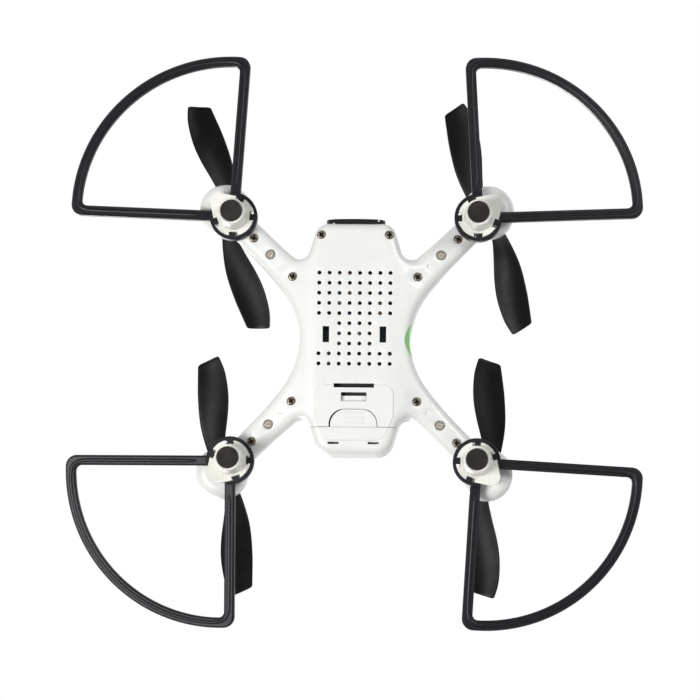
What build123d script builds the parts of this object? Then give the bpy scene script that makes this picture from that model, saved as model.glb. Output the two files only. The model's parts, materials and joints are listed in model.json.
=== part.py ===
from build123d import *
import math
import os

# Quadcopter drone with geared motors and clip-on propeller guards.
# Millimetres. +Z up, +Y towards the nose, +X to the right.
# The origin is on the ground, midway between the four feet.

os.makedirs("parts", exist_ok=True)

# ---- driving dimensions: layout ----
PROP_AXIS = 65.5                # each propeller axis stands at (+-65.5, +-65.5)
GEAR_MODULE = 0.3
GEAR_TEETH = 38
PINION_TEETH = 9
GEAR_CENTRES = GEAR_MODULE * (GEAR_TEETH + PINION_TEETH) / 2
PROP_X = PROP_AXIS * math.sqrt(2)        # distance from the origin along an arm
MOTOR_X = PROP_X - GEAR_CENTRES
CORNERS = {"front_right": 45, "front_left": 135, "rear_left": -135, "rear_right": -45}

# ---- driving dimensions: shells ----
WALL = 1.4
SEAM_Z = 34.0                   # the upper and lower shells meet here
SEAM_GAP = 0.15
BELLY_Z = 17.0
ROOF_Z = 48.0
NOSE_Y = 57.2
TAIL_Y = -57.1
BELLY_EDGE_R = 4.6
EDGE_STEP = 3.0                 # the room inside steps in by this much under a rounded edge
ROOF_EDGE_R = 5.0
TAIL_SPLIT_Y = -43.8            # the battery forms the tail behind this line
# plan of the right-hand half of the body: x, y and corner radius
NOSE_CORNERS = [(18.4, NOSE_Y, 7.0), (24.8, 35.9, 5.0)]
TAIL_HALF = 28.0                # clear of the arms on both sides
TAIL_CORNERS = [(23.8, -35.0, 5.0), (17.4, TAIL_Y, 9.0)]
WAIST_CORNER = (27.1, 3.0, 16.0)
# distance along the arm and its width there
ARM_WIDTHS = [(30.0, 23.0), (38.0, 17.6), (47.0, 15.2), (58.0, 13.6), (71.0, 13.3)]
ARM_FREE_FROM = 50.0            # nearer than this the arm's outer edge is hidden in the body
ARM_BLEND_R = 36.0
ARM_TIP = 91.0
ARM_TIP_HALF = 6.6
ARM_TIP_R = 6.2
# distance sideways from the middle, and the height of the belly and the roof there
BELLY_CURVE = [
    (0.0, BELLY_Z), (10.0, BELLY_Z), (20.5, 17.05), (27.0, 19.4), (33.2, 21.7),
    (41.0, 24.0), (50.2, 26.0), (59.6, 27.4), (72.0, 28.6),
]
ROOF_CURVE = [
    (0.0, ROOF_Z), (10.0, 47.8), (18.0, 47.0), (27.0, 45.4), (35.0, 43.7),
    (43.0, 42.4), (52.0, 41.4), (60.0, 40.8), (72.0, 40.2),
]

# ---- driving dimensions: pods ----
COLUMN_R = 8.8                  # round the motor
LOBE_X = 10.3                   # the narrow end of the teardrop, from the motor axis
LOBE_R = 3.6
COLUMN_Z = 20.5
BOWL_R = 12.7                   # round the propeller axis, over the reduction gear
BOWL_Z = 27.5
DECK_Z = 46.6
PLATE_R = 9.9                   # teardrop flange at the top of the leg
PLATE_LOBE_R = 4.2
PLATE_Z = 18.4
NOTCH_WIDTH = 4.4
NOTCH_R = 7.9
NOTCH_TURNS = [65, 135, 225, 295]
LEG_TOP_R = 7.2
LEG_FOOT_R = 6.4
PAD_R = 5.3
PAD_RISE = 1.6                  # rubber standing below the leg

# ---- driving dimensions: drive ----
MOTOR_R = 4.25
MOTOR_LENGTH = 20.0
MOTOR_Z = 19.4
SHAFT_R = 1.0
BEARING_PLAY = 0.03
BEARING_R = 2.5
BEARING_LOW = 45.9
BUSH_R = 2.0
DECK_BOSS_R = 3.8
DECK_BOSS_RISE = 1.8
GEAR_Z = 41.4
GEAR_FACE = 2.4
PROP_Z = 56.5
HUB_R = 3.2
HUB_Z = 50.8
HUB_TOP = 59.6
PROP_TIP_R = 60.6
# distance from the propeller axis, pitch in degrees and blade thickness there
BLADE_STATIONS = [(0, 24, 1.8), (14, 20, 1.5), (28, 16, 1.3), (44, 12, 1.1), (62, 9, 0.9)]
# turn of each propeller from the nose direction when it has stopped
PROP_REST = {"front_right": -15.6, "front_left": -17.5, "rear_left": 1.4, "rear_right": -9.2}
# seen from above; the two on a diagonal turn the same way
PROP_HAND = {"front_right": 1, "front_left": -1, "rear_left": 1, "rear_right": -1}

# ---- driving dimensions: guards ----
GUARD_ARC_R = 74.5
GUARD_WIDTH = 5.0
GUARD_DEPTH = 4.4
GUARD_RISE = 6.7                # degrees, upward and outward
GUARD_Z = 22.3
RING_R = 11.8
RING_BORE = 10.15
RING_Z = 18.6
RING_TOP = 25.4
# each clip ring sits with a little play on its pod
GUARD_TURN = {"front_right": 3.0, "front_left": -3.0, "rear_left": 3.0, "rear_right": 0.0}

# ---- driving dimensions: screws and lights along each arm ----
ROOT_SCREW = 43.7
TIP_SCREW = 71.6
ARM_LIGHT = 59.7
ARM_DIMPLE = 51.4
NOSE_SCREW = (16.8, 51.3)
SCREW_R = 0.95
HEAD_R = 2.0
HEAD_HEIGHT = 1.2
BOSS_R = 2.6
LED_R = 2.45

# ---- driving dimensions: battery ----
BATTERY_HALF = 17.0
BATTERY_FRONT = -18.0
BATTERY_LOW = 22.0
BATTERY_HIGH = 33.0
PLATFORM_DROP = 0.6             # raised platform under the battery bay
TONGUE_HALF = 11.4
TONGUE_FRONT = -35.3
LATCH_LOW = 18.75
LATCH_THICK = 1.4
WINDOW_HALF = 6.25
WINDOW_FRONT = -26.8
WINDOW_BACK = -31.3

# ---- driving dimensions: electronics and nose ----
BOARD_Z = 26.4
BOARD_THICK = 1.2
BOARD_HALF = 20.0
BOARD_Y = (-13.0, 38.0)
BUTTON_Y = -6.0
BUTTON_R = 4.0
BUTTON_TRAVEL = 0.8
CAMERA_Z = 32.0
CAMERA_R = 4.0
VISOR_HALF = 14.6
VISOR_THICK = 2.5
VISOR_CURVE_R = 320.0
VISOR_LOW = 21.0
VISOR_HIGH = 40.0
WIRE_R = 0.5
WIRE_Z = 31.0
WIRE_OFFSET = 3.9               # each side of the arm's middle, clear of the screw bosses
SOLDER_X = 18.3
SOLDER_Y = {"front_right": 22, "front_left": 22, "rear_left": -6, "rear_right": -6}


def block(x0, x1, y0, y1, z0, z1):
    """A box between two corners."""
    centre = ((x0 + x1) / 2, (y0 + y1) / 2, (z0 + z1) / 2)
    return Pos(*centre) * Box(x1 - x0, y1 - y0, z1 - z0)


def rod(x, y, radius, z0, z1):
    """An upright cylinder between two heights."""
    return Pos(x, y, (z0 + z1) / 2) * Cylinder(radius, z1 - z0)


def along_arm(shape, corner):
    """Turn a shape from the +X direction onto one of the four arms."""
    return Rot(0, 0, CORNERS[corner]) * shape


def save(shape, name):
    shape.label = name
    export_step(shape, f"parts/{name}.step")


def edges_at(shape, height):
    """The edges that lie wholly at one height."""
    return [
        edge for edge in shape.edges()
        if abs(edge.bounding_box().min.Z - height) < 1e-4
        and abs(edge.bounding_box().max.Z - height) < 1e-4
    ]


# ---- airframe shells ----

def arm_edge(distance, offset):
    """Plan point of the front right arm, at a distance along it and to one side of its middle."""
    return ((distance + offset) * math.sqrt(0.5), (distance - offset) * math.sqrt(0.5))


def body_corners():
    """Corners of the whole plan in order, each with its rounding radius."""
    waist_side = [(*arm_edge(x, width / 2), ARM_BLEND_R) for x, width in ARM_WIDTHS]
    outer_side = [
        (*arm_edge(x, -width / 2), ARM_BLEND_R) for x, width in ARM_WIDTHS if x > ARM_FREE_FROM
    ]
    tip = [(*arm_edge(ARM_TIP, side * ARM_TIP_HALF), ARM_TIP_R) for side in (-1, 1)]
    arm = outer_side + tip + waist_side[::-1] + [WAIST_CORNER]
    right = NOSE_CORNERS + arm + [(x, -y, radius) for x, y, radius in reversed(arm)] + TAIL_CORNERS
    return right + [(-x, y, radius) for x, y, radius in reversed(right)]


def body_outline(inset):
    """Plan of the body and its four arms, drawn inwards by a distance."""
    corners = body_corners()
    points = []
    radii = []
    for i, (x, y, radius) in enumerate(corners):
        here = Vector(x, y)
        before = Vector(*corners[i - 1][:2])
        after = Vector(*corners[(i + 1) % len(corners)][:2])
        arriving = (here - before).normalized()
        leaving = (after - here).normalized()
        inward = Vector(arriving.Y, -arriving.X) + Vector(leaving.Y, -leaving.X)
        scale = inset / (1 + arriving.dot(leaving))
        points.append(here + inward * scale)
        turns_right = arriving.cross(leaving).Z < 0
        radii.append(radius - inset if turns_right else radius + inset)
    outline = make_face(Polyline(*points, close=True))
    for point, radius in zip(points, radii):
        corner = outline.vertices().sort_by_distance(Vertex(point.X, point.Y, 0))[0]
        outline = fillet(corner, radius)
    return outline


def cross_curve(curve, rise):
    """Smooth line across the body through a height table, mirrored about the middle."""
    right = [Vector(x, 0, z + rise) for x, z in curve]
    left = [Vector(-point.X, 0, point.Z) for point in reversed(right[1:])]
    return Spline(*left, *right)


def body_block(side_inset, height_inset):
    """Body and arms in one: the plan cut between a curved belly and a curved roof."""
    belly = cross_curve(BELLY_CURVE, height_inset)
    roof = cross_curve(ROOF_CURVE, -height_inset)
    section = make_face([belly, Line(belly @ 1, roof @ 1), roof, Line(roof @ 0, belly @ 0)])
    slab = extrude(section, amount=90, both=True, dir=(0, 1, 0))
    return (Pos(0, 0, 10) * extrude(body_outline(side_inset), 45)) & slab


def body_shell():
    """The body with its belly and roof edges rounded all the way round."""
    body = body_block(0, 0)
    for radius, side in ((BELLY_EDGE_R, -1), (ROOF_EDGE_R, 1)):
        rim = [
            edge for edge in body.edges()
            if abs(edge.tangent_at(0.5).Z) < 0.9 and side * (edge.center().Z - SEAM_Z) > 4
        ]
        body = fillet(rim, radius)
    return body


def body_room():
    """Space inside the body, stepped where it follows the rounded edges."""
    return body_block(WALL, EDGE_STEP) + body_block(EDGE_STEP, WALL)


def teardrop(main_r, lobe_r):
    """Plan of the pod: a circle round the motor, tapering to the propeller side."""
    main = Pos(MOTOR_X, 0) * Circle(main_r)
    lobe = Pos(MOTOR_X + LOBE_X, 0) * Circle(lobe_r)
    return make_hull(main.edges() + lobe.edges())


def pod_body(inset):
    """Teardrop column with a round bowl over it, closed by a flat deck."""
    column_low = COLUMN_Z if inset == 0 else COLUMN_Z - 1
    column = Pos(0, 0, column_low) * extrude(
        teardrop(COLUMN_R - inset, LOBE_R - inset), SEAM_Z - column_low
    )
    with BuildSketch(Plane.XZ) as profile:
        with BuildLine():
            Polyline((0, DECK_Z - inset), (0, BOWL_Z + inset), (7.5 - inset, BOWL_Z + inset))
            RadiusArc((7.5 - inset, BOWL_Z + inset), (BOWL_R - inset, 32.5), -(5.2 - inset / 2))
            Polyline((BOWL_R - inset, 32.5), (BOWL_R - inset, DECK_Z - 2.5))
            RadiusArc((BOWL_R - inset, DECK_Z - 2.5), (BOWL_R - 2.5, DECK_Z - inset), -(2.5 - inset))
            Line((BOWL_R - 2.5, DECK_Z - inset), (0, DECK_Z - inset))
        make_face()
    bowl = Pos(PROP_X, 0, 0) * revolve(profile.sketch, Axis.Z)
    return column + bowl


def with_pods(body, inset):
    """Join the four motor pods to the body."""
    for corner in CORNERS:
        body += along_arm(pod_body(inset), corner)
    return body


def underside(distance):
    """Height of the arm's underside at a distance along the arm."""
    across = distance * math.sqrt(0.5)
    for (x0, z0), (x1, z1) in zip(BELLY_CURVE, BELLY_CURVE[1:]):
        if x0 <= across <= x1:
            return z0 + (z1 - z0) * (across - x0) / (x1 - x0)


def screw_places():
    """Plan position and underside height of every case screw."""
    places = []
    for turn in CORNERS.values():
        for x in (ROOT_SCREW, TIP_SCREW):
            angle = math.radians(turn)
            places.append((x * math.cos(angle), x * math.sin(angle), underside(x)))
    for side in (-1, 1):
        places.append((side * NOSE_SCREW[0], NOSE_SCREW[1], BELLY_Z + 0.3))
    return places


def case_screw(x, y, low):
    """Pan head with a cross recess; each was driven home to its own angle."""
    turn = 7 * x + 11 * y
    seat = low + 0.3
    head = rod(x, y, HEAD_R, seat, seat + HEAD_HEIGHT)
    head = fillet(edges_at(head, seat), 0.5)
    shank = rod(x, y, SCREW_R, seat + HEAD_HEIGHT, SEAM_Z + 6)
    slot = Pos(x, y, seat) * Rot(0, 0, turn) * (Box(2.6, 0.6, 1.6) + Box(0.6, 2.6, 1.6))
    return head + shank - slot


def platform(low, high):
    """Raised pad on the belly under the battery bay, with rounded corners."""
    outline = make_face(Polyline(
        (-19.6, -23.0), (19.6, -23.0), (19.6, -38.5), (14.6, -50.5),
        (-14.6, -50.5), (-19.6, -38.5), close=True,
    ))
    outline = fillet(outline.vertices().sort_by(Axis.Y)[-2:], 5)
    outline = fillet(outline.vertices().sort_by(Axis.Y)[:2], 6)
    pad = Pos(0, 0, low) * extrude(outline, high - low)
    return chamfer(edges_at(pad, low), 0.35)


def tongue_outline(grow):
    """Arch-shaped thumb tongue of the battery latch, seen in plan."""
    half = TONGUE_HALF + grow
    front = TONGUE_FRONT + grow
    back = TAIL_SPLIT_Y - 0.1 - grow
    outline = make_face(Polyline((-half, back), (-half, front), (half, front), (half, back), close=True))
    return fillet(outline.vertices().sort_by(Axis.Y)[-2:], 7.5)


def vent_holes():
    holes = []
    for row in range(10):
        columns = range(2, 6) if row in (5, 6, 7) else range(8)
        for column in columns:
            x = 5.0 * (column - 3.5)
            y = 32.3 - 5.0 * row
            holes.append(rod(x, y, 1.0, BELLY_Z - 1, BELLY_Z + 3))
    return holes


def lens_prism(grow):
    """Oval along X that cuts the side light out of the left flank."""
    oval = Plane.YZ * (Pos(-0.5, 23.4) * Ellipse(8.7 + grow, 4.9 + grow))
    return Pos(-35, 0, 0) * extrude(oval, 15)


outer = with_pods(body_shell(), 0)
hollow = with_pods(body_room(), WALL)
skin = outer - hollow
below = block(-150, 150, -150, 150, 0, SEAM_Z - SEAM_GAP / 2)
above = block(-150, 150, -150, 150, SEAM_Z + SEAM_GAP / 2, 100)


def lower_posts():
    """Screw bosses, board pillars, shaft posts and motor ribs inside the lower shell."""
    top = SEAM_Z - SEAM_GAP / 2
    posts = [rod(x, y, BOSS_R + 0.6, low, top) for x, y, low in screw_places()]
    for side in (-1, 1):
        for y in (35.8, 2.0):
            posts.append(rod(side * 18.2, y, 1.6, BELLY_Z + 1, BOARD_Z))
    pod = rod(PROP_X, 0, 2.7, COLUMN_Z, 33.0)
    pod += block(PROP_X + 2, MOTOR_X + LOBE_X + LOBE_R - 1, -0.6, 0.6, COLUMN_Z, 30.0)
    for turn in (95, 180, 265):
        rib = block(MOTOR_R + 0.05, COLUMN_R - 0.8, -0.5, 0.5, COLUMN_Z + 1, 33.0)
        pod += Pos(MOTOR_X, 0, 0) * Rot(0, 0, turn) * rib
    for corner in CORNERS:
        posts.append(along_arm(pod, corner))
    return Compound(posts) & outer


def lower_cutters():
    cutters = vent_holes()
    for x, y, low in screw_places():
        cutters.append(rod(x, y, HEAD_R + 0.3, low - 4, low + 0.3 + HEAD_HEIGHT))
        cutters.append(rod(x, y, SCREW_R + 0.05, low, SEAM_Z + 1))
    pod = rod(PROP_X, 0, BUSH_R + 0.01, 30.0, 40) + rod(PROP_X, 0, SHAFT_R + 0.1, 29.0, 31)
    pod += rod(ARM_LIGHT, 0, LED_R + 0.06, 15, 30)
    pod += Pos(ARM_DIMPLE, 0, underside(ARM_DIMPLE) - 0.7) * Sphere(1.3)
    for corner in CORNERS:
        cutters.append(along_arm(pod, corner))
    for side in (-1, 1):
        cutters.append(block(side * 14 - 1.6, side * 14 + 1.6, -2.2, 5.8, 10, BELLY_Z + 3))
    cutters.append(block(-9.9, 9.9, -24.5, -22.4, 10, BELLY_Z + 3))
    cutters.append(block(-WINDOW_HALF, WINDOW_HALF, WINDOW_BACK, WINDOW_FRONT, 10, BELLY_Z + 2))
    for shift in (0, 0.5):
        cutters.append(Pos(shift, 0, 10) * extrude(tongue_outline(0.3), 10))
    cutters.append(block(-TAIL_HALF, TAIL_HALF, -80, TAIL_SPLIT_Y, 0, SEAM_Z + 1))
    cutters.append(lens_prism(0.06))
    cutters.append(Pos(0, NOSE_Y, CAMERA_Z) * Rot(90, 0, 0) * Cylinder(CAMERA_R + 0.3, 8))
    return cutters


def lower_shell():
    pad = platform(BELLY_Z - PLATFORM_DROP, BELLY_Z + 0.4)
    return (skin & below) + lower_posts() + pad - lower_cutters()


def upper_shell():
    """Roof with screw bosses, and a bearing deck on each pod."""
    low = SEAM_Z + SEAM_GAP / 2
    bosses = Compound([rod(x, y, BOSS_R, low, ROOF_Z - 1) for x, y, _ in screw_places()])
    deck = rod(PROP_X, 0, DECK_BOSS_R, DECK_Z - WALL, DECK_Z + DECK_BOSS_RISE)
    deck = chamfer(edges_at(deck, DECK_Z + DECK_BOSS_RISE), 0.4)
    bearing_seat = rod(PROP_X, 0, BEARING_R + 0.01, BEARING_LOW, 60)
    shaft_hole = rod(PROP_X, 0, SHAFT_R + 0.6, 40, 60)
    shell = (skin & above) + (bosses & outer)
    cutters = [rod(x, y, SCREW_R + 0.02, SEAM_Z, SEAM_Z + 6.5) for x, y, _ in screw_places()]
    for corner in CORNERS:
        shell += along_arm(deck, corner)
        cutters.append(along_arm(bearing_seat + shaft_hole, corner))
    cutters.append(rod(0, BUTTON_Y, BUTTON_R + 0.2, 40, 60))
    cutters.append(Pos(0, NOSE_Y, CAMERA_Z) * Rot(90, 0, 0) * Cylinder(CAMERA_R + 0.3, 8))
    return shell - cutters


# ---- nose, lights and electronics ----

def nose_visor():
    """Glossy strip across the nose, bulging a little at the middle, with the camera hole."""
    height = VISOR_HIGH - VISOR_LOW
    front = Plane(origin=(0, NOSE_Y, (VISOR_LOW + VISOR_HIGH) / 2), x_dir=(1, 0, 0), z_dir=(0, 1, 0))
    slab = extrude(front * RectangleRounded(2 * VISOR_HALF, height, 5), VISOR_THICK)
    bulge = Pos(0, NOSE_Y + VISOR_THICK - VISOR_CURVE_R, CAMERA_Z) * Cylinder(VISOR_CURVE_R, 40)
    hole = Pos(0, NOSE_Y, CAMERA_Z) * Rot(90, 0, 0) * Cylinder(CAMERA_R + 0.1, 12)
    return (slab & bulge) - hole


def camera_module():
    barrel = Pos(0, 54.2, CAMERA_Z) * Rot(90, 0, 0) * Cylinder(CAMERA_R, 9.0)
    base = block(-6, 6, 44.2, 49.8, CAMERA_Z - 6, CAMERA_Z + 6)
    recess = Pos(0, 58.5, CAMERA_Z) * Rot(90, 0, 0) * Cylinder(CAMERA_R - 0.6, 2.4)
    return barrel + base - recess


def camera_lens():
    disc = Pos(0, 57.7, CAMERA_Z) * Rot(90, 0, 0) * Cylinder(CAMERA_R - 0.65, 0.8)
    dome = Pos(0, 49.2, CAMERA_Z) * Sphere(9.5)
    return disc & dome


def main_board():
    x, y0, y1 = BOARD_HALF, *BOARD_Y
    outline = make_face(Polyline(
        (-x, y0), (x, y0), (x, y1 - 4), (x - 4, y1), (4 - x, y1), (-x, y1 - 4), close=True
    ))
    return Pos(0, 0, BOARD_Z) * extrude(outline, BOARD_THICK)


def board_parts():
    """Chips, capacitors and sockets soldered to both faces of the board."""
    under = [
        (0, 24, 8, 8, 1.0), (-11, 26, 5, 5, 0.9), (11, 20, 10, 12, 1.6), (-11, 14, 6, 9, 1.8),
        (1, 11, 7, 5, 1.1), (-3, 1, 5, 6, 2.4), (6, -3, 4, 4, 1.4), (-8, -7, 6, 4, 2.6),
        (12, -9, 4, 6, 2.0), (5, 33, 9, 4, 1.5),
    ]
    over = [(0, BUTTON_Y, 6, 6, 2.0), (-12, 8, 7, 9, 2.2), (9, 16, 8, 8, 1.2), (0, 34, 12, 4, 1.8)]
    top = BOARD_Z + BOARD_THICK
    pieces = [block(x - w / 2, x + w / 2, y - d / 2, y + d / 2, BOARD_Z - h, BOARD_Z)
              for x, y, w, d, h in under]
    pieces += [block(x - w / 2, x + w / 2, y - d / 2, y + d / 2, top, top + h)
               for x, y, w, d, h in over]
    return Compound(pieces)


def radio_antenna():
    """Thin aerial lead that rises from the board and runs along the left side."""
    start = BOARD_Z + BOARD_THICK
    route = FilletPolyline((-16, 18, start), (-16, 18, 40), (-16, 44, 40), radius=2)
    return sweep(Plane(route @ 0, z_dir=route % 0) * Circle(0.6), path=route)


def arm_point(corner, distance, offset, height):
    """A point given by its distance along an arm and its offset to one side."""
    angle = math.radians(CORNERS[corner])
    return (
        distance * math.cos(angle) - offset * math.sin(angle),
        distance * math.sin(angle) + offset * math.cos(angle),
        height,
    )


def motor_wires():
    """Two leads per motor, from its lugs, in along the arm and down to the board."""
    leads = []
    lug_x = MOTOR_X - 4.9
    for corner in CORNERS:
        for side in (-1, 1):
            offset = side * WIRE_OFFSET
            lug = arm_point(corner, lug_x, offset, 21.3)
            bend = arm_point(corner, lug_x, offset, WIRE_Z)
            root = arm_point(corner, 36.0, offset, WIRE_Z)
            pad = (math.copysign(SOLDER_X, root[0]), SOLDER_Y[corner] + 1.2 * side, WIRE_Z)
            foot = (pad[0], pad[1], BOARD_Z + BOARD_THICK)
            route = FilletPolyline(lug, bend, root, pad, foot, radius=1.5)
            leads.append(sweep(Plane(route @ 0, z_dir=route % 0) * Circle(WIRE_R), path=route))
    return Compound([lead.solid() for lead in leads])


def power_button():
    cap = rod(0, BUTTON_Y, BUTTON_R, 45.6, ROOF_Z + 0.9)
    cap = fillet(edges_at(cap, ROOF_Z + 0.9), 0.6)
    flange = rod(0, BUTTON_Y, BUTTON_R + 1.2, 45.2, 46.2)
    plunger = rod(0, BUTTON_Y, 1.5, BOARD_Z + BOARD_THICK + 2.0 + BUTTON_TRAVEL + 0.1, 45.4)
    return cap + flange + plunger


def side_light_lens():
    return skin & below & lens_prism(0)


def arm_light_lenses():
    low = underside(ARM_LIGHT)
    lens = rod(ARM_LIGHT, 0, LED_R, low - 0.2, low + 6.5)
    lens = fillet(edges_at(lens, low - 0.2), 0.5)
    return Compound([along_arm(lens, corner) for corner in CORNERS])


def prop_bearings():
    """An upper ball race and a lower bush on each propeller shaft."""
    bore = SHAFT_R + BEARING_PLAY
    upper_race = rod(PROP_X, 0, BEARING_R, BEARING_LOW, 48.2) - rod(PROP_X, 0, bore, 45, 49)
    lower_bush = rod(PROP_X, 0, BUSH_R, 30.0, 33.0) - rod(PROP_X, 0, bore, 29, 34)
    rings = []
    for corner in CORNERS:
        rings += [along_arm(upper_race, corner), along_arm(lower_bush, corner)]
    return Compound(rings)


# ---- battery ----

def battery_bay():
    """Upturned channel that guides the battery and keeps it off the board."""
    wide = BATTERY_HALF + 1.6
    floor = BELLY_Z + WALL
    outside = block(-wide, wide, -42.8, BATTERY_FRONT + 3.0, floor + 0.5, SEAM_Z + 0.9)
    inside = block(-wide + 1, wide - 1, -50, BATTERY_FRONT + 2.0, floor - 1, SEAM_Z - 0.1)
    opening = block(-7, 7, BATTERY_FRONT + 1, BATTERY_FRONT + 4, 24, 31)
    return outside - inside - opening


def battery_socket():
    """Contact block in the front wall of the bay, with two blades."""
    front = BATTERY_FRONT
    housing = block(-6.8, 6.8, front + 2.2, front + 4.6, 24.2, 30.8)
    blades = [block(x - 1, x + 1, front + 0.2, front + 2.2, 26, 29) for x in (-3.5, 3.5)]
    return housing + blades


def battery_case():
    half = BATTERY_HALF
    tray = block(-half, half, -45.6, BATTERY_FRONT, BATTERY_LOW, BATTERY_HIGH)
    hollow_x = half - 1
    room = block(-hollow_x, hollow_x, -60, BATTERY_FRONT - 1, BATTERY_LOW + 1, BATTERY_HIGH - 1)
    pockets = [block(x - 1.6, x + 1.6, BATTERY_FRONT - 0.5, BATTERY_FRONT + 1, 25.5, 29.5)
               for x in (-3.5, 3.5)]
    return tray - room - pockets


def battery_terminals():
    plates = [block(x - 1.6, x + 1.6, BATTERY_FRONT - 0.5, BATTERY_FRONT, 25.5, 29.5)
              for x in (-3.5, 3.5)]
    return Compound(plates)


def battery_cell():
    cell = block(-15, 15, -52.5, BATTERY_FRONT - 1.3, BATTERY_LOW + 1.2, BATTERY_HIGH - 1.2)
    return fillet(cell.edges().filter_by(Axis.Y), 2.5)


def battery_cap():
    """Tail of the body, with a front wall round the battery case and two belly slits."""
    front = TAIL_SPLIT_Y - 0.25
    region = block(-TAIL_HALF, TAIL_HALF, -80, front, 0, SEAM_Z - SEAM_GAP / 2 - 0.1)
    room = block(-TAIL_HALF, TAIL_HALF, -80, front - 1.3, 0, SEAM_Z - 1.4)
    tail = (outer & region) - (hollow & room)
    tail += platform(BELLY_Z - PLATFORM_DROP, BELLY_Z + 0.4) & region
    window = block(
        -BATTERY_HALF - 0.05, BATTERY_HALF + 0.05, front - 2, front + 1,
        BATTERY_LOW - 0.05, BATTERY_HIGH + 0.05,
    )
    slits = [block(x - 2.7, x + 2.7, -52.3, -51.2, 10, 19.5) for x in (-9.8, 9.8)]
    rear_slits = [block(x - 2.7, x + 2.7, -60, -54.5, 19.9, 20.9) for x in (-9.8, 9.8)]
    return tail - window - slits - rear_slits


def battery_latch():
    """Thumb tongue with three grip ribs, and the hooked arm that reaches the window."""
    top = LATCH_LOW + LATCH_THICK
    tongue = Pos(0, 0, BELLY_Z - PLATFORM_DROP) * extrude(
        tongue_outline(0), top - BELLY_Z + PLATFORM_DROP
    )
    arm = block(-6, 6, TONGUE_FRONT - 2, -28.4, LATCH_LOW, top)
    ribs = [block(-4.6, 4.6, y - 0.45, y + 0.45, BELLY_Z - PLATFORM_DROP - 0.4, BELLY_Z)
            for y in (-36.9, -39.4, -41.9)]
    return tongue + arm + ribs


# ---- drive pods ----

def leg():
    """Hollow tapering leg under a notched teardrop flange that seats the motor."""
    foot = PAD_RISE
    shell = Pos(MOTOR_X, 0, 0) * Solid.make_cone(
        LEG_FOOT_R, LEG_TOP_R, PLATE_Z - foot, Plane((0, 0, foot))
    )
    shell = fillet(edges_at(shell, foot), 0.5)
    shell += Pos(0, 0, PLATE_Z) * extrude(teardrop(PLATE_R, PLATE_LOBE_R), COLUMN_Z - PLATE_Z)
    shell -= rod(MOTOR_X, 0, PAD_R + 0.05, 0, foot + 1.4)
    shell -= rod(MOTOR_X, 0, LEG_FOOT_R - 1.3, foot + 2.8, PLATE_Z)
    shell -= rod(MOTOR_X, 0, 3.2, PLATE_Z - 1, 30)
    shell -= rod(MOTOR_X, 0, MOTOR_R + 0.1, MOTOR_Z, 30)
    notch = block(NOTCH_R, 15, -NOTCH_WIDTH / 2, NOTCH_WIDTH / 2, PLATE_Z, COLUMN_Z)
    for turn in NOTCH_TURNS:
        shell -= Pos(MOTOR_X, 0, 0) * Rot(0, 0, turn) * notch
    return shell


def foot_pad():
    pad = rod(MOTOR_X, 0, PAD_R, 0, PAD_RISE + 1.4)
    return fillet(edges_at(pad, 0), 0.5)


def motor():
    """Coreless motor can with its rear cap lugs and the front bush."""
    top = MOTOR_Z + MOTOR_LENGTH
    can = fillet(edges_at(rod(MOTOR_X, 0, MOTOR_R, MOTOR_Z, top), top), 0.5)
    bush = rod(MOTOR_X, 0, 1.5, top, top + 0.6)
    lugs = block(MOTOR_X - 5.5, MOTOR_X - 3.2, -4.4, 4.4, 20.6, 21.3)
    bore = rod(MOTOR_X, 0, 0.5 + BEARING_PLAY, top - 1, top + 2)
    return can + bush + lugs - bore


def involute_turn(radius, base):
    """Angle by which an involute flank has turned at a radius."""
    if radius <= base:
        return 0.0
    pressure = math.acos(base / radius)
    return math.tan(pressure) - pressure


def toothed_wheel(teeth, addendum, dedendum, start):
    """Spur gear outline: each flank is an involute over a radial root."""
    pitch = GEAR_MODULE * teeth / 2
    base = pitch * math.cos(math.radians(20))
    play = 0.03 / pitch
    half = math.pi / (2 * teeth) - play + involute_turn(pitch, base)
    radii = [pitch - dedendum, max(base, pitch - dedendum + 0.02), pitch, pitch + addendum]
    points = []
    for tooth in range(teeth):
        middle = math.radians(start) + 2 * math.pi * tooth / teeth
        flank = [(r, half - involute_turn(r, base)) for r in radii]
        for r, turn in flank:
            points.append((r * math.cos(middle - turn), r * math.sin(middle - turn)))
        for r, turn in reversed(flank):
            points.append((r * math.cos(middle + turn), r * math.sin(middle + turn)))
    return make_face(Polyline(*points, close=True))


def motor_pinion():
    wheel = toothed_wheel(PINION_TEETH, 0.30, 0.25, 180 / PINION_TEETH)
    shaft_low = MOTOR_Z + MOTOR_LENGTH - 0.9
    shape = Pos(MOTOR_X, 0, GEAR_Z - 0.2) * extrude(wheel, GEAR_FACE + 0.4)
    return shape + rod(MOTOR_X, 0, 0.5, shaft_low, GEAR_Z + GEAR_FACE + 0.8)


def prop_gear():
    wheel = Pos(PROP_X, 0, GEAR_Z) * extrude(toothed_wheel(GEAR_TEETH, 0.16, 0.42, 0), GEAR_FACE)
    hub = rod(PROP_X, 0, 2.2, GEAR_Z - 2.2, GEAR_Z + GEAR_FACE + 0.8)
    shape = wheel + hub - rod(PROP_X, 0, SHAFT_R + 0.01, 30, 60)
    for hole in range(4):
        spoke_gap = Rot(0, 0, 45 + 90 * hole) * Pos(3.8, 0, 0) * rod(0, 0, 0.9, GEAR_Z - 1, 50)
        shape -= Pos(PROP_X, 0, 0) * spoke_gap
    return shape


def prop_shaft():
    return rod(PROP_X, 0, SHAFT_R, 29.6, 57.4)


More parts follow.
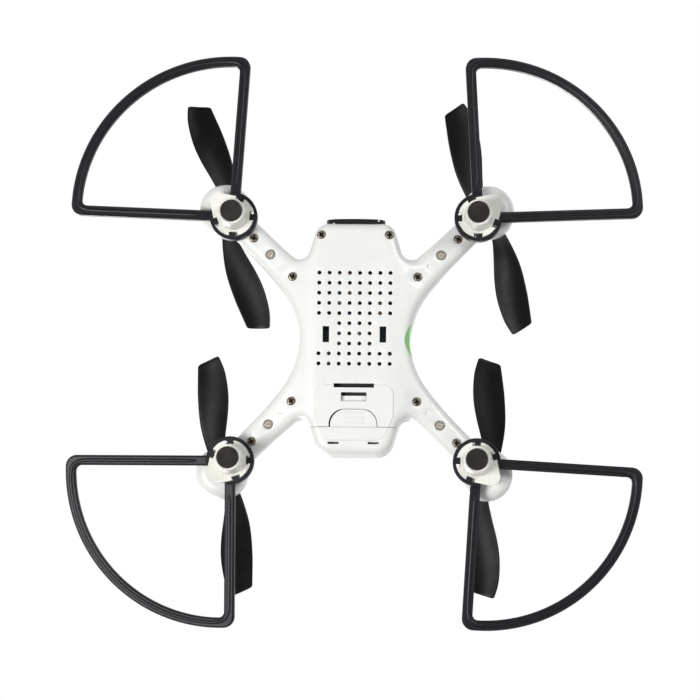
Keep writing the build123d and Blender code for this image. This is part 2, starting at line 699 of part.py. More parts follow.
def blade_outline():
    """Plan of one blade along +Y; the fuller edge leads and the tip is raked back."""
    leading = Spline((-2.6, 1.0), (-5.9, 8.6), (-8.1, 20.0), (-8.7, 29.5), (-7.9, 41.0), (-5.4, 57.2))
    tip = Line((-5.4, 57.2), (5.6, PROP_TIP_R))
    trailing = Spline((5.6, PROP_TIP_R), (8.2, 48.5), (6.3, 31.0), (3.2, 19.5), (1.2, 10.0), (2.0, 1.0))
    root = Line((2.0, 1.0), (-2.6, 1.0))
    outline = make_face(leading + tip + trailing + root)
    corners = outline.vertices().sort_by(Axis.Y)[-2:]
    return fillet(corners, 1.8)


def blade():
    """Twisted slab trimmed to the blade's plan."""
    sections = []
    for radius, pitch, thick in BLADE_STATIONS:
        lean = math.radians(pitch)
        plane = Plane(
            origin=(0, radius, PROP_Z),
            x_dir=(math.cos(lean), 0, -math.sin(lean)),
            z_dir=(0, 1, 0),
        )
        sections.append(plane * Rectangle(24, thick))
    slab = loft(sections)
    return slab & (Pos(0, 0, PROP_Z - 10) * extrude(blade_outline(), 20))


def propeller(corner):
    hub = rod(0, 0, HUB_R, HUB_Z, HUB_TOP)
    hub = fillet(edges_at(hub, HUB_TOP), 0.8)
    shape = hub + blade() + Rot(0, 0, 180) * blade()
    shape -= rod(0, 0, SHAFT_R + 0.01, 40, 57.4)
    shape -= rod(0, 0, 0.62, 50, 62)
    if PROP_HAND[corner] < 0:
        shape = mirror(shape, about=Plane.YZ)
    shape = Rot(0, 0, PROP_REST[corner]) * shape
    angle = math.radians(CORNERS[corner])
    return Pos(PROP_X * math.cos(angle), PROP_X * math.sin(angle), 0) * shape


def prop_screw():
    head = fillet(edges_at(rod(PROP_X, 0, 1.9, HUB_TOP, HUB_TOP + 1.2), HUB_TOP + 1.2), 0.4)
    slot = Pos(PROP_X, 0, HUB_TOP + 1.2) * (Box(2.2, 0.45, 1.0) + Box(0.45, 2.2, 1.0))
    return head + rod(PROP_X, 0, 0.6, 57.5, HUB_TOP) - slot


# ---- guards ----

def guard_region(grow, corner_r):
    """Sector between the two beams and the arc, widened or narrowed all round."""
    reach = 130.0
    shift = grow * math.sqrt(2)
    wedge = make_face(Polyline((-shift, 0), (reach - shift, reach), (reach - shift, -reach), close=True))
    sector = wedge & (Pos(GEAR_CENTRES, 0) * Circle(GUARD_ARC_R + grow))
    tips = sector.vertices().sort_by(Axis.X)[-2:]
    return fillet(tips, corner_r)


def guard(turn):
    """Flat quarter loop, tilted up outward, on a clip ring with four tabs."""
    half = GUARD_WIDTH / 2
    loop = guard_region(half, 5.5) - guard_region(-half, 3.0)
    frame = Pos(0, 0, -GUARD_DEPTH / 2) * extrude(loop, GUARD_DEPTH)
    frame = chamfer(edges_at(frame, -GUARD_DEPTH / 2) + edges_at(frame, GUARD_DEPTH / 2), 0.9)
    frame = Pos(0, 0, GUARD_Z) * Rot(0, -GUARD_RISE, 0) * frame
    ring = rod(0, 0, RING_R, RING_Z, RING_TOP)
    ring = chamfer(edges_at(ring, RING_Z) + edges_at(ring, RING_TOP), 0.5)
    shift = half * math.sqrt(2)
    mouth = make_face(Polyline((shift, 0), (shift + 30, 30), (shift + 30, -30), close=True))
    ring -= Pos(0, 0, RING_Z - 1) * extrude(mouth, 20)
    shape = frame + ring
    clearance = RING_BORE - PLATE_R
    well = teardrop(RING_BORE, PLATE_LOBE_R + clearance + 0.25)
    shape = Rot(0, 0, turn) * shape
    shape -= Pos(-MOTOR_X, 0, 10) * extrude(well, 30)
    tab = block(NOTCH_R + 0.4, RING_BORE + 0.6, -1.5, 1.5, RING_Z + 0.1, COLUMN_Z - 0.3)
    for notch in NOTCH_TURNS:
        shape += Rot(0, 0, notch + turn) * tab
    return Pos(MOTOR_X, 0, 0) * shape


save(lower_shell(), "lower_shell")
save(upper_shell(), "upper_shell")
save(nose_visor(), "nose_visor")
save(camera_module(), "camera_module")
save(camera_lens(), "camera_lens")
save(main_board(), "main_board")
save(board_parts(), "board_parts")
save(radio_antenna(), "radio_antenna")
save(motor_wires(), "motor_wires")
save(power_button(), "power_button")
save(side_light_lens(), "side_light_lens")
save(arm_light_lenses(), "arm_light_lenses")
save(prop_bearings(), "prop_bearings")
save(Compound([case_screw(*place) for place in screw_places()]), "case_screws")
save(battery_bay(), "battery_bay")
save(battery_socket(), "battery_socket")
save(battery_case(), "battery_case")
save(battery_terminals(), "battery_terminals")
save(battery_cell(), "battery_cell")
save(battery_cap(), "battery_cap")
save(battery_latch(), "battery_latch")
for corner in CORNERS:
    save(along_arm(leg(), corner), f"leg_{corner}")
    save(along_arm(foot_pad(), corner), f"foot_pad_{corner}")
    save(along_arm(motor(), corner), f"motor_{corner}")
    save(along_arm(motor_pinion(), corner), f"motor_pinion_{corner}")
    save(along_arm(prop_gear(), corner), f"prop_gear_{corner}")
    save(along_arm(prop_shaft(), corner), f"prop_shaft_{corner}")
    save(along_arm(prop_screw(), corner), f"prop_screw_{corner}")
    save(propeller(corner), f"propeller_{corner}")
    save(along_arm(guard(GUARD_TURN[corner]), corner), f"guard_{corner}")
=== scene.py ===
import bmesh
import bpy
import json
import math
from mathutils import Matrix, Vector


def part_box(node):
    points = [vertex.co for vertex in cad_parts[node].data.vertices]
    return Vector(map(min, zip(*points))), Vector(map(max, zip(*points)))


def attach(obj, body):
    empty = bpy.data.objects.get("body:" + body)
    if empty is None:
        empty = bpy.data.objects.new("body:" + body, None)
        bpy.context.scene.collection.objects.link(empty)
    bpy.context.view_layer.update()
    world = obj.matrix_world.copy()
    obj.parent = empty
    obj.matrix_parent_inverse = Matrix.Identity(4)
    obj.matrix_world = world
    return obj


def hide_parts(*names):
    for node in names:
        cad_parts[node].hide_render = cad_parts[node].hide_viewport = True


# Quadcopter drone seen from below. Metres, in the frame of the CAD model: +Z up, +Y to the nose.

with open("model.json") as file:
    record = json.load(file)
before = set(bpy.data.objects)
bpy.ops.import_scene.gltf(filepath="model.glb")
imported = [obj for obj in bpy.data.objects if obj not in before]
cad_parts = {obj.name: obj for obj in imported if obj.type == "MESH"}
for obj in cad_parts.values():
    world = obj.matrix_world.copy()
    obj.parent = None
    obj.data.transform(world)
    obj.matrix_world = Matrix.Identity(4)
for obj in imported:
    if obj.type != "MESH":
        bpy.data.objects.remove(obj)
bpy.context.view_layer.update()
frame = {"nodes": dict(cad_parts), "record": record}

CORNERS = {"front_right": (1, 1), "front_left": (-1, 1), "rear_left": (-1, -1), "rear_right": (1, -1)}
MM = 0.001


def centre_of(node):
    low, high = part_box(node)
    return (Vector(low) + Vector(high)) / 2


# ---- materials ----

NOISE_BAND = (0.3, 0.7)


def new_material(name):
    material = bpy.data.materials.new(name)
    material.use_nodes = True
    tree = material.node_tree
    shader = tree.nodes["Principled BSDF"]
    return material, tree, shader


def noise(tree, scale, detail=3.0, roughness=0.5):
    """Noise in the object's own coordinates; scale is in cells per metre."""
    place = tree.nodes.new("ShaderNodeTexCoord")
    node = tree.nodes.new("ShaderNodeTexNoise")
    node.inputs["Scale"].default_value = scale
    node.inputs["Detail"].default_value = detail
    node.inputs["Roughness"].default_value = roughness
    tree.links.new(place.outputs["Object"], node.inputs["Vector"])
    return node.outputs["Fac"]


def spread(tree, source, low, high):
    """Map the band that noise mostly falls in onto a range."""
    node = tree.nodes.new("ShaderNodeMapRange")
    node.inputs["From Min"].default_value = NOISE_BAND[0]
    node.inputs["From Max"].default_value = NOISE_BAND[1]
    node.inputs["To Min"].default_value = low
    node.inputs["To Max"].default_value = high
    tree.links.new(source, node.inputs["Value"])
    return node.outputs["Result"]


def blend_colours(tree, factor, first, second):
    node = tree.nodes.new("ShaderNodeMix")
    node.data_type = "RGBA"
    node.inputs["A"].default_value = (*first, 1)
    node.inputs["B"].default_value = (*second, 1)
    tree.links.new(factor, node.inputs["Factor"])
    return node.outputs["Result"]


def add_bump(tree, shader, height, distance):
    node = tree.nodes.new("ShaderNodeBump")
    node.inputs["Strength"].default_value = 1.0
    node.inputs["Distance"].default_value = distance
    tree.links.new(height, node.inputs["Height"])
    tree.links.new(node.outputs["Normal"], shader.inputs["Normal"])


def plastic(name, colour, other, rough, grain=2600.0, depth=6e-6, mottle=90.0, coat=0.0, specular=0.5):
    """Moulded plastic: slow colour drift, fine spark grain and uneven gloss."""
    material, tree, shader = new_material(name)
    drift = spread(tree, noise(tree, mottle, 2.0), 0.0, 1.0)
    tree.links.new(blend_colours(tree, drift, colour, other), shader.inputs["Base Color"])
    handled = spread(tree, noise(tree, 340.0, 5.0, 0.65), rough[0], rough[1])
    tree.links.new(handled, shader.inputs["Roughness"])
    shader.inputs["Specular IOR Level"].default_value = specular
    shader.inputs["Coat Weight"].default_value = coat
    shader.inputs["Coat Roughness"].default_value = 0.08
    add_bump(tree, shader, noise(tree, grain, 4.0, 0.6), depth)
    return material


def metal(name, colour, other, rough, grain=1800.0, depth=4e-6):
    material, tree, shader = new_material(name)
    drift = spread(tree, noise(tree, 700.0, 4.0), 0.0, 1.0)
    tree.links.new(blend_colours(tree, drift, colour, other), shader.inputs["Base Color"])
    tree.links.new(spread(tree, noise(tree, 900.0, 3.0), *rough), shader.inputs["Roughness"])
    shader.inputs["Metallic"].default_value = 1.0
    add_bump(tree, shader, noise(tree, grain, 3.0), depth)
    return material


def clear(name, colour, other, rough, transmission, glow=0.0):
    material, tree, shader = new_material(name)
    drift = spread(tree, noise(tree, 500.0, 4.0), 0.0, 1.0)
    tree.links.new(blend_colours(tree, drift, colour, other), shader.inputs["Base Color"])
    tree.links.new(spread(tree, noise(tree, 800.0, 3.0), *rough), shader.inputs["Roughness"])
    shader.inputs["Transmission Weight"].default_value = transmission
    shader.inputs["IOR"].default_value = 1.5
    shader.inputs["Emission Color"].default_value = (*colour, 1)
    shader.inputs["Emission Strength"].default_value = glow
    add_bump(tree, shader, noise(tree, 1200.0, 3.0), 8e-6)
    return material


def parts_on_board():
    """Solder, ceramic, resin and black packages, one colour to each few millimetres of board."""
    material, tree, shader = new_material("board_parts")
    place = tree.nodes.new("ShaderNodeTexCoord")
    cells = tree.nodes.new("ShaderNodeTexVoronoi")
    cells.inputs["Scale"].default_value = 260.0
    cells.inputs["Randomness"].default_value = 0.9
    tree.links.new(place.outputs["Object"], cells.inputs["Vector"])
    level = tree.nodes.new("ShaderNodeSeparateColor")
    tree.links.new(cells.outputs["Color"], level.inputs["Color"])
    ramp = tree.nodes.new("ShaderNodeValToRGB")
    ramp.color_ramp.interpolation = "CONSTANT"
    stops = [
        (0.0, (0.10, 0.10, 0.10)), (0.36, (0.62, 0.56, 0.44)), (0.52, (0.08, 0.20, 0.40)),
        (0.62, (0.80, 0.78, 0.74)), (0.78, (0.60, 0.32, 0.16)), (0.88, (0.08, 0.08, 0.085)),
    ]
    while len(ramp.color_ramp.elements) < len(stops):
        ramp.color_ramp.elements.new(0.5)
    for element, (place_at, colour) in zip(ramp.color_ramp.elements, stops):
        element.position = place_at
        element.color = (*colour, 1)
    tree.links.new(level.outputs["Red"], ramp.inputs["Fac"])
    tree.links.new(ramp.outputs["Color"], shader.inputs["Base Color"])
    tree.links.new(spread(tree, noise(tree, 900.0), 0.3, 0.5), shader.inputs["Roughness"])
    add_bump(tree, shader, noise(tree, 1500.0), 1e-5)
    return material


MATERIALS = {
    "shell_white": plastic(
        "white_shell", (0.81, 0.815, 0.785), (0.78, 0.785, 0.755), (0.28, 0.40), coat=0.12
    ),
    "pod_cream": plastic("cream_pod", (0.82, 0.81, 0.75), (0.78, 0.77, 0.71), (0.30, 0.42), coat=0.1),
    "guard_black": plastic(
        "black_guard", (0.006, 0.006, 0.009), (0.009, 0.009, 0.013), (0.36, 0.46),
        grain=1400.0, depth=1e-6, specular=0.35,
    ),
    "blade_black": plastic(
        "black_blade", (0.004, 0.004, 0.0045), (0.006, 0.006, 0.007), (0.30, 0.40), specular=0.12
    ),
    "visor_black": plastic(
        "black_visor", (0.005, 0.005, 0.006), (0.007, 0.007, 0.009), (0.06, 0.12), coat=0.5
    ),
    "foot_rubber": plastic(
        "foot_rubber", (0.016, 0.014, 0.012), (0.030, 0.027, 0.023), (0.66, 0.85),
        grain=1500.0, depth=3e-5, specular=0.2,
    ),
    "screw_bronze": metal("bronze_screw", (0.26, 0.21, 0.16), (0.46, 0.39, 0.30), (0.26, 0.42)),
    "steel": metal("ground_steel", (0.60, 0.60, 0.60), (0.50, 0.50, 0.50), (0.18, 0.30)),
    "motor_can": metal("drawn_steel", (0.52, 0.53, 0.55), (0.45, 0.46, 0.48), (0.22, 0.34)),
    "brass": metal("brass", (0.78, 0.58, 0.26), (0.66, 0.48, 0.20), (0.20, 0.34)),
    "gear_nylon": plastic("nylon_gear", (0.80, 0.79, 0.73), (0.74, 0.73, 0.67), (0.40, 0.52)),
    "lens_clear": clear("lamp_epoxy", (0.97, 0.92, 0.82), (0.84, 0.77, 0.66), (0.04, 0.10), 0.75),
    "lens_green": clear(
        "green_lens", (0.26, 0.60, 0.20), (0.36, 0.68, 0.28), (0.12, 0.24), 0.25, glow=0.08
    ),
    "camera_glass": clear("camera_glass", (0.03, 0.03, 0.06), (0.05, 0.03, 0.08), (0.02, 0.05), 0.5),
    "camera_body": plastic("camera_black", (0.012, 0.012, 0.012), (0.018, 0.018, 0.018), (0.45, 0.6)),
    "board_blue": plastic("solder_mask", (0.045, 0.070, 0.085), (0.070, 0.105, 0.120), (0.25, 0.4)),
    "chip_black": parts_on_board(),
    "wire": plastic("silicone_lead", (0.18, 0.015, 0.012), (0.23, 0.02, 0.016), (0.42, 0.55)),
    "bay_black": plastic("bay_black", (0.020, 0.020, 0.022), (0.028, 0.028, 0.030), (0.45, 0.6)),
    "cell_silver": metal(
        "cell_pouch", (0.62, 0.63, 0.65), (0.55, 0.56, 0.58), (0.30, 0.46), depth=2e-5
    ),
    "button_grey": plastic("grey_button", (0.10, 0.105, 0.115), (0.13, 0.135, 0.145), (0.38, 0.5)),
}

SLOT_OF = {part["node"]: part["material_slot"] for part in frame["record"]["subparts"]}

# width in millimetres that the edges of a node are rounded by; names stand for every corner's node
EDGE_ROUND = {
    "lower_shell": 0.25, "upper_shell": 0.3, "battery_case": 0.2, "battery_cap": 0.25,
    "battery_latch": 0.15, "nose_visor": 0.15, "side_light_lens": 0.1, "power_button": 0.15,
    "battery_bay": 0.1, "case_screws": 0.06, "leg": 0.2, "foot_pad": 0.3,
    "guard": 0.5, "propeller": 0.12, "prop_screw": 0.08,
}
SMALL_PART_ROUND = 0.05
WELD_DISTANCE = 0.000002
HARD_EDGE = math.radians(28)


def edge_round(node):
    for start, size in EDGE_ROUND.items():
        if node == start or node.startswith(start + "_"):
            return size * MM
    return SMALL_PART_ROUND * MM


def soften_edges(piece, size):
    """Weld the mesh as displayed and round its hard edges."""
    weld = piece.modifiers.new("weld", "WELD")
    weld.merge_threshold = WELD_DISTANCE
    bevel = piece.modifiers.new("edge_round", "BEVEL")
    bevel.width = size
    bevel.segments = 2
    bevel.limit_method = "ANGLE"
    bevel.angle_limit = HARD_EDGE
    bevel.use_clamp_overlap = True
    bevel.harden_normals = False
    bevel.miter_outer = "MITER_ARC"


def dress_cad_nodes():
    """Give every carried-over part its own finish and soften its hard edges."""
    for name, piece in frame["nodes"].items():
        piece.data.materials.clear()
        piece.data.materials.append(MATERIALS[SLOT_OF[name]])
        soften_edges(piece, edge_round(name))


dress_cad_nodes()

# ---- propellers ----

PROP_REST = {"front_right": -15.6, "front_left": -17.5, "rear_left": 1.4, "rear_right": -9.2}
PROP_HAND = {"front_right": 1, "front_left": -1, "rear_left": 1, "rear_right": -1}
BLADE_Z = 56.5 * MM
# plan of one blade in millimetres, root to tip
LEADING = [
    (-2.6, 1.0), (-5.9, 8.6), (-8.1, 20.0), (-8.7, 29.5), (-7.9, 41.0), (-6.6, 50.0), (-5.4, 57.2),
]
TRAILING = [(2.0, 1.0), (1.2, 10.0), (3.2, 19.5), (6.3, 31.0), (7.9, 41.0), (7.7, 52.0), (5.6, 60.4)]
# distance from the hub in millimetres, with the pitch there in degrees or the thickness
PITCH = [(0, 24), (14, 20), (28, 16), (44, 12), (62, 9)]
THICKNESS = [(0, 1.8), (14, 1.5), (28, 1.3), (44, 1.1), (62, 0.9)]
TIP_CORNER = 1.9
CAMBER = 0.085
SPAN_STEPS = 44
CHORD_STEPS = 14
TIP_STEPS = 6
TIP_START = 0.968
TIP_SHARE = 0.032


def table_value(table, x):
    for (x0, y0), (x1, y1) in zip(table, table[1:]):
        if x <= x1:
            return y0 + (y1 - y0) * max(0.0, x - x0) / (x1 - x0)
    return table[-1][1]


def smooth_path(points, t):
    """Catmull-Rom curve through the points, for t from 0 to 1."""
    place = min(t * (len(points) - 1), len(points) - 1.0001)
    i = int(place)
    f = place - i
    ends = [points[max(0, min(len(points) - 1, j))] for j in (i - 1, i, i + 1, i + 2)]
    p0, p1, p2, p3 = [Vector(point) for point in ends]
    bend = (2 * p0 - 5 * p1 + 4 * p2 - p3) * f * f + (3 * p1 - p0 - 3 * p2 + p3) * f ** 3
    return 0.5 * (2 * p1 + (p2 - p0) * f + bend)


def blade_section(t, from_tip):
    """Closed ring of points round one cambered section, in millimetres."""
    front = smooth_path(LEADING, t)
    back = smooth_path(TRAILING, t)
    chord = (back - front).length
    middle = (front + back) / 2
    if from_tip < TIP_CORNER:
        lost = TIP_CORNER - math.sqrt(TIP_CORNER ** 2 - (TIP_CORNER - from_tip) ** 2)
        front = middle + (front - middle) * (1 - 2 * lost / chord)
        back = middle + (back - middle) * (1 - 2 * lost / chord)
        chord -= 2 * lost
    lean = math.radians(table_value(PITCH, middle.y))
    thick = table_value(THICKNESS, middle.y) * min(1.0, 0.45 + from_tip / 3.0)
    ring = []
    for side in (1, -1):
        for k in range(CHORD_STEPS):
            turn = math.pi * k / CHORD_STEPS
            along = 0.5 - 0.5 * math.cos(turn) * side
            spot = front + (back - front) * along
            camber = CAMBER * chord * (4 * along * (1 - along) - 0.4)
            nose = math.sqrt(max(0.0, along * (1 - along))) * 2
            half = side * thick / 2 * nose ** 0.8 * (1.12 - 0.3 * along)
            height = camber + half - math.tan(lean) * spot.x
            ring.append(Vector((spot.x, spot.y, height)))
    return ring


def add_blade(shape, turned):
    rings = []
    length = LEADING[-1][1]
    for step in range(SPAN_STEPS + TIP_STEPS + 1):
        t = min(step, SPAN_STEPS) / SPAN_STEPS * TIP_START
        if step > SPAN_STEPS:
            t = TIP_START + TIP_SHARE * math.sin((step - SPAN_STEPS) / TIP_STEPS * math.pi / 2)
        from_tip = (1 - t) * length
        points = blade_section(t, from_tip)
        if turned:
            points = [Vector((-p.x, -p.y, p.z)) for p in points]
        rings.append([shape.verts.new(p * MM) for p in points])
    join_rings(shape, rings)
    shape.faces.new(rings[-1])
    shape.faces.new(list(reversed(rings[0])))


# radius and height of the hub's outline, in millimetres from the blades' middle
HUB_PROFILE = [
    (1.05, -5.7), (2.7, -5.7), (2.9, -5.5), (2.9, -3.6), (3.2, -3.3), (3.2, 2.2), (3.05, 2.75),
    (2.6, 3.05), (2.1, 3.1), (1.95, 2.9), (0.65, 2.9),
]


LATHE_STEPS = 56
SHARP_ANGLE = math.radians(38)


def join_rings(shape, rings):
    """Walls between each ring of points and the next."""
    for lower, upper in zip(rings, rings[1:]):
        for k in range(len(lower)):
            j = (k + 1) % len(lower)
            shape.faces.new((lower[k], lower[j], upper[j], upper[k]))


def add_lathe(shape, profile):
    rings = []
    for radius, height in profile:
        ring = []
        for k in range(LATHE_STEPS):
            turn = 2 * math.pi * k / LATHE_STEPS
            ring.append(shape.verts.new((
                radius * math.cos(turn) * MM, radius * math.sin(turn) * MM, height * MM
            )))
        rings.append(ring)
    join_rings(shape, rings)


def new_piece(name, shape, material, body):
    """Smooth-shaded piece that rides a body, finished in the given material."""
    bmesh.ops.recalc_face_normals(shape, faces=shape.faces)
    mesh = bpy.data.meshes.new(name)
    shape.to_mesh(mesh)
    shape.free()
    for face in mesh.polygons:
        face.use_smooth = True
    mesh.materials.append(MATERIALS[material])
    piece = bpy.data.objects.new(name, mesh)
    bpy.context.scene.collection.objects.link(piece)
    mesh.set_sharp_from_angle(angle=SHARP_ANGLE)
    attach(piece, body)
    return piece


def make_propeller(corner):
    shape = bmesh.new()
    add_blade(shape, False)
    add_blade(shape, True)
    add_lathe(shape, HUB_PROFILE)
    axis = centre_of(f"prop_shaft_{corner}")
    turn = Matrix.Rotation(math.radians(PROP_REST[corner]), 4, "Z")
    hand = Matrix.Diagonal((PROP_HAND[corner], 1, 1, 1))
    place = Matrix.Translation((axis.x, axis.y, BLADE_Z))
    bmesh.ops.transform(shape, matrix=place @ turn @ hand, verts=shape.verts)
    piece = new_piece(f"airscrew_{corner}", shape, "blade_black", f"prop_{corner}")
    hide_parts(f"propeller_{corner}")


for corner in CORNERS:
    make_propeller(corner)

# ---- painted shade in the screw recesses, and lamp dies ----

HEAD_SEARCH_R = 2.2
# outline of the screws' cross recesses, in millimetres; a black block of painted shade fills each
# recess
RECESS_R = 1.5
RECESS_HALF = 0.46
RECESS_FLARE = 0.85
SHADE_CROSS_PROUD = 0.02
SHADE_CROSS_DEPTH = 0.5
ARM_SCREWS = [43.7, 71.6]
NOSE_SCREW = (16.8, 51.3)
LAMP_DISTANCE = 59.7
LAMP_STEPS = 24


def screw_spots():
    """Plan places of the case screws, in millimetres."""
    spots = [(side * NOSE_SCREW[0], NOSE_SCREW[1]) for side in (-1, 1)]
    for right, fore in CORNERS.values():
        for distance in ARM_SCREWS:
            reach = distance * math.sqrt(0.5)
            spots.append((right * reach, fore * reach))
    return spots


def head_height(x, y):
    """Lowest point of the screw head at a place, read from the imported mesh, in metres."""
    near = [
        vertex.co.z for vertex in frame["nodes"]["case_screws"].data.vertices
        if (vertex.co.x - x * MM) ** 2 + (vertex.co.y - y * MM) ** 2 < (HEAD_SEARCH_R * MM) ** 2
    ]
    return min(near)


def add_prism(shape, outline, low, high):
    """Closed prism between two heights; outline in metres."""
    bottom = [shape.verts.new((x, y, low)) for x, y in outline]
    top = [shape.verts.new((x, y, high)) for x, y in outline]
    shape.faces.new(list(reversed(bottom)))
    shape.faces.new(top)
    for k in range(len(outline)):
        j = (k + 1) % len(outline)
        shape.faces.new((bottom[k], bottom[j], top[j], top[k]))


def cross_outline(x, y, turn):
    """Outline of a cross recess with arms that end in a point, turned by an angle; it is filled with
    painted shade.
    """
    points = []
    for arm in range(4):
        lean = turn + arm * math.pi / 2
        for along, across in (
            (RECESS_HALF, -RECESS_HALF), (RECESS_R * RECESS_FLARE, -RECESS_HALF * RECESS_FLARE),
            (RECESS_R, 0), (RECESS_R * RECESS_FLARE, RECESS_HALF * RECESS_FLARE),
        ):
            points.append((
                (x + along * math.cos(lean) - across * math.sin(lean)) * MM,
                (y + along * math.sin(lean) + across * math.cos(lean)) * MM,
            ))
    return points


def make_recess_shade_crosses():
    """Black cross of painted shade in each screw's recess, a hair proud of its head; every screw stops
    at its own angle.
    """
    shape = bmesh.new()
    for x, y in screw_spots():
        low = head_height(x, y)
        turn = math.radians(7 * x + 11 * y)
        # black block of painted shade in the recess, not a modelled hollow
        add_prism(shape, cross_outline(x, y, turn), low - SHADE_CROSS_PROUD * MM, low + SHADE_CROSS_DEPTH * MM)
    # the recess shade is painted with the black blade material
    new_piece("screw_recess_shade", shape, "blade_black", "airframe")


def make_lamp_insides(name, material, radius, rise, thick):
    """One disc inside each clear lamp, such as its reflector cup or its emitter."""
    shape = bmesh.new()
    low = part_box("arm_light_lenses")[0]
    for right, fore in CORNERS.values():
        reach = LAMP_DISTANCE * math.sqrt(0.5)
        outline = []
        for k in range(LAMP_STEPS):
            turn = 2 * math.pi * k / LAMP_STEPS
            outline.append((
                (right * reach + radius * math.cos(turn)) * MM,
                (fore * reach + radius * math.sin(turn)) * MM,
            ))
        add_prism(shape, outline, low.z + rise * MM, low.z + (rise + thick) * MM)
    new_piece(name, shape, material, "airframe")


# black crosses of painted shade in the screw recesses
make_recess_shade_crosses()
make_lamp_insides("lamp_cups", "gear_nylon", 1.45, 1.2, 0.5)
make_lamp_insides("lamp_dies", "brass", 0.5, 0.7, 0.45)

# ---- guards: raised bead along both faces of each loop ----

GEAR_CENTRES = 7.05
GUARD_ARC_R = 74.5
GUARD_HALF_DEPTH = 2.2
GUARD_RISE = math.radians(6.7)
GUARD_Z = 22.3
GUARD_TURN = {"front_right": 3.0, "front_left": -3.0, "rear_left": 3.0, "rear_right": 0.0}
CORNER_ANGLE = {"front_right": 45, "front_left": 135, "rear_left": -135, "rear_right": -45}
BEAD_R = 1.3
BEAD_SUNK = 0.85
BEAM_START = 14.5
BEAD_SIDES = 14
BEAD_ENDS = (0.35, 0.85)           # share of the full radius at a bead's first two rings
BEAM_STEPS = 24
ARC_STEPS = 48
CORNER_ROUNDS = 6                  # passes that round the loop's corners


def guard_path():
    """Middle line of a guard loop in its own plane, in millimetres, corners rounded."""
    diagonal = math.sqrt(0.5)
    reach = GEAR_CENTRES * diagonal + math.sqrt(GUARD_ARC_R ** 2 - GEAR_CENTRES ** 2 / 2)
    ends = [(reach * diagonal, -reach * diagonal), (reach * diagonal, reach * diagonal)]
    first = math.atan2(ends[0][1], ends[0][0] - GEAR_CENTRES)
    last = math.atan2(ends[1][1], ends[1][0] - GEAR_CENTRES)
    beam = [BEAM_START + (reach - BEAM_START) * k / BEAM_STEPS for k in range(BEAM_STEPS)]
    path = [(r * diagonal, -r * diagonal) for r in beam]
    for k in range(ARC_STEPS + 1):
        turn = first + (last - first) * k / ARC_STEPS
        path.append((GEAR_CENTRES + GUARD_ARC_R * math.cos(turn), GUARD_ARC_R * math.sin(turn)))
    path += [(r * diagonal, r * diagonal) for r in reversed(beam)]
    for _ in range(CORNER_ROUNDS):
        smooth = [path[0]]
        for before, here, after in zip(path, path[1:], path[2:]):
            smooth.append(tuple(0.25 * before[i] + 0.5 * here[i] + 0.25 * after[i] for i in (0, 1)))
        path = smooth + [path[-1]]
    return [Vector((x, y, 0)) for x, y in path]


def add_tube(shape, path, radius):
    """Round bar along a flat path, thinner at its two ends."""
    rings = []
    for i, here in enumerate(path):
        before = path[max(0, i - 1)]
        after = path[min(len(path) - 1, i + 1)]
        along = (after - before).normalized()
        across = Vector((-along.y, along.x, 0)).normalized()
        end = min(i, len(path) - 1 - i)
        size = radius * (BEAD_ENDS[end] if end < len(BEAD_ENDS) else 1.0)
        ring = []
        for k in range(BEAD_SIDES):
            turn = 2 * math.pi * k / BEAD_SIDES
            outward = across * size * math.cos(turn) + Vector((0, 0, size * math.sin(turn)))
            ring.append(shape.verts.new(here + outward))
        rings.append(ring)
    join_rings(shape, rings)
    shape.faces.new(rings[-1])
    shape.faces.new(list(reversed(rings[0])))


def make_guard_beads(corner):
    """Two beads, one along each face of a corner's loop."""
    shape = bmesh.new()
    path = guard_path()
    lift = GUARD_HALF_DEPTH - BEAD_SUNK
    for side in (-1, 1):
        add_tube(shape, [point + Vector((0, 0, side * lift)) for point in path], BEAD_R)
    axis = centre_of(f"foot_pad_{corner}")
    place = (
        Matrix.Translation((axis.x, axis.y, 0))
        @ Matrix.Rotation(math.radians(CORNER_ANGLE[corner] + GUARD_TURN[corner]), 4, "Z")
        @ Matrix.Scale(MM, 4)
        @ Matrix.Translation((0, 0, GUARD_Z))
        @ Matrix.Rotation(-GUARD_RISE, 4, "Y")
    )
    bmesh.ops.transform(shape, matrix=place, verts=shape.verts)
    new_piece(f"guard_bead_{corner}", shape, "guard_black", "airframe")


for corner in CORNERS:
    make_guard_beads(corner)

# ---- floor, lights and camera ----

# camera: metres, radians, and how far the object stands off the middle of the view
VIEW_DISTANCE = 1.6
FOCAL_RATIO = 3292.0 / 700.0       # distance over width of view
TILT_BACK = 0.111
TILT_SIDE = 0.035
ROLL = -0.007
OBJECT_SHIFT = (1.54 * MM, 7.81 * MM)
SENSOR_WIDTH = 36.0
LIGHT_AIM = Vector((0, 0, 0.03))
SUN_SPREAD = math.radians(24)


def add_camera():
    data = bpy.data.cameras.new("camera")
    data.sensor_width = SENSOR_WIDTH
    data.lens = SENSOR_WIDTH * FOCAL_RATIO
    data.clip_end = 20.0
    camera = bpy.data.objects.new("camera", data)
    bpy.context.scene.collection.objects.link(camera)
    turn = (
        Matrix.Rotation(-TILT_BACK, 4, "X") @ Matrix.Rotation(TILT_SIDE, 4, "Y")
        @ Matrix.Rotation(ROLL, 4, "Z") @ Matrix.Rotation(math.pi, 4, "Y")
    )
    place = turn @ Vector((-OBJECT_SHIFT[0], -OBJECT_SHIFT[1], VIEW_DISTANCE))
    camera.matrix_world = Matrix.Translation(place) @ turn
    bpy.context.scene.camera = camera


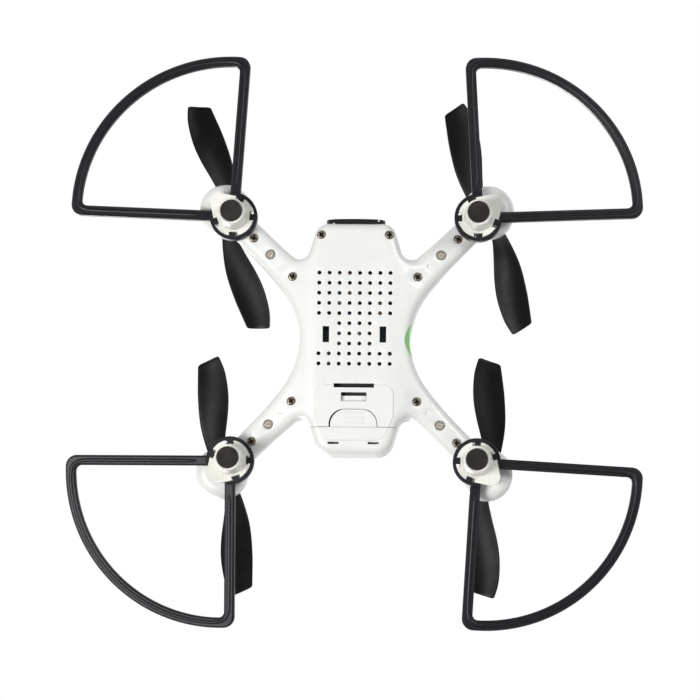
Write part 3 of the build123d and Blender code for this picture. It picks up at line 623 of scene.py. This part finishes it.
def add_area(name, place, size, power, colour=(1, 1, 1)):
    """Round soft light aimed at the object's middle."""
    data = bpy.data.lights.new(name, "AREA")
    data.shape = "DISK"
    data.size = size
    data.energy = power
    data.color = colour
    lamp = bpy.data.objects.new(name, data)
    bpy.context.scene.collection.objects.link(lamp)
    lamp.location = place
    lamp.rotation_euler = (LIGHT_AIM - Vector(place)).to_track_quat("-Z", "Y").to_euler()


def add_sun(name, source, power):
    data = bpy.data.lights.new(name, "SUN")
    data.energy = power
    data.angle = SUN_SPREAD
    lamp = bpy.data.objects.new(name, data)
    bpy.context.scene.collection.objects.link(lamp)
    lamp.rotation_euler = (-Vector(source)).to_track_quat("-Z", "Y").to_euler()


ROOM_BELOW = (0.27, 0.27, 0.275)
ROOM_ABOVE = (0.88, 0.88, 0.88)
ROOM_TURNS = (-0.15, 0.35)         # height of the sight line between the two tones
FLOOR_REACH = 14.0
FLOOR_DROP = 0.0002                # keeps the floor clear of the feet


def add_world():
    """White paper behind the object; the room's own light is brighter from above than below."""
    world = bpy.data.worlds.new("studio")
    world.use_nodes = True
    tree = world.node_tree
    room = tree.nodes["Background"]
    direction = tree.nodes.new("ShaderNodeTexCoord")
    split = tree.nodes.new("ShaderNodeSeparateXYZ")
    tree.links.new(direction.outputs["Generated"], split.inputs["Vector"])
    height = tree.nodes.new("ShaderNodeMapRange")
    height.inputs["From Min"].default_value = ROOM_TURNS[0]
    height.inputs["From Max"].default_value = ROOM_TURNS[1]
    tree.links.new(split.outputs["Z"], height.inputs["Value"])
    light = blend_colours(tree, height.outputs["Result"], ROOM_BELOW, ROOM_ABOVE)
    tree.links.new(light, room.inputs["Color"])
    paper = tree.nodes.new("ShaderNodeBackground")
    paper.inputs["Color"].default_value = (1.0, 1.0, 1.0, 1)
    ray = tree.nodes.new("ShaderNodeLightPath")
    mix = tree.nodes.new("ShaderNodeMixShader")
    tree.links.new(ray.outputs["Is Camera Ray"], mix.inputs["Fac"])
    tree.links.new(room.outputs["Background"], mix.inputs[1])
    tree.links.new(paper.outputs["Background"], mix.inputs[2])
    tree.links.new(mix.outputs["Shader"], tree.nodes["World Output"].inputs["Surface"])
    bpy.context.scene.world = world


def add_floor():
    """Pale sheet at ground level, seen only from above so that the belly stays in view."""
    mesh = bpy.data.meshes.new("floor")
    shape = bmesh.new()
    bmesh.ops.create_grid(shape, x_segments=8, y_segments=8, size=FLOOR_REACH)
    shape.to_mesh(mesh)
    shape.free()
    floor = bpy.data.objects.new("floor", mesh)
    floor.location = (0, 0, -FLOOR_DROP)
    bpy.context.scene.collection.objects.link(floor)
    material, tree, shader = new_material("floor_paper")
    drift = spread(tree, noise(tree, 6.0), 0, 1)
    tint = blend_colours(tree, drift, (0.80, 0.80, 0.80), (0.83, 0.83, 0.83))
    tree.links.new(tint, shader.inputs["Base Color"])
    shader.inputs["Roughness"].default_value = 0.9
    side = tree.nodes.new("ShaderNodeNewGeometry")
    gone = tree.nodes.new("ShaderNodeBsdfTransparent")
    mix = tree.nodes.new("ShaderNodeMixShader")
    output = tree.nodes["Material Output"]
    tree.links.new(side.outputs["Backfacing"], mix.inputs["Fac"])
    tree.links.new(shader.outputs["BSDF"], mix.inputs[1])
    tree.links.new(gone.outputs["BSDF"], mix.inputs[2])
    tree.links.new(mix.outputs["Shader"], output.inputs["Surface"])
    floor.data.materials.append(material)
    floor.visible_diffuse = False
    floor.visible_glossy = False
    floor.visible_transmission = False
    floor.visible_shadow = False


add_camera()
add_world()
add_floor()
add_area("key_below", (0.75, -0.35, -1.15), 0.6, 16.5)
add_area("fill_below", (-0.9, 0.5, -1.0), 0.5, 7.5, colour=(0.97, 0.98, 1.0))
add_sun("sun_above", (0.5, -0.6, 1.2), 1.5)
bpy.context.scene.view_settings.view_transform = "Standard"
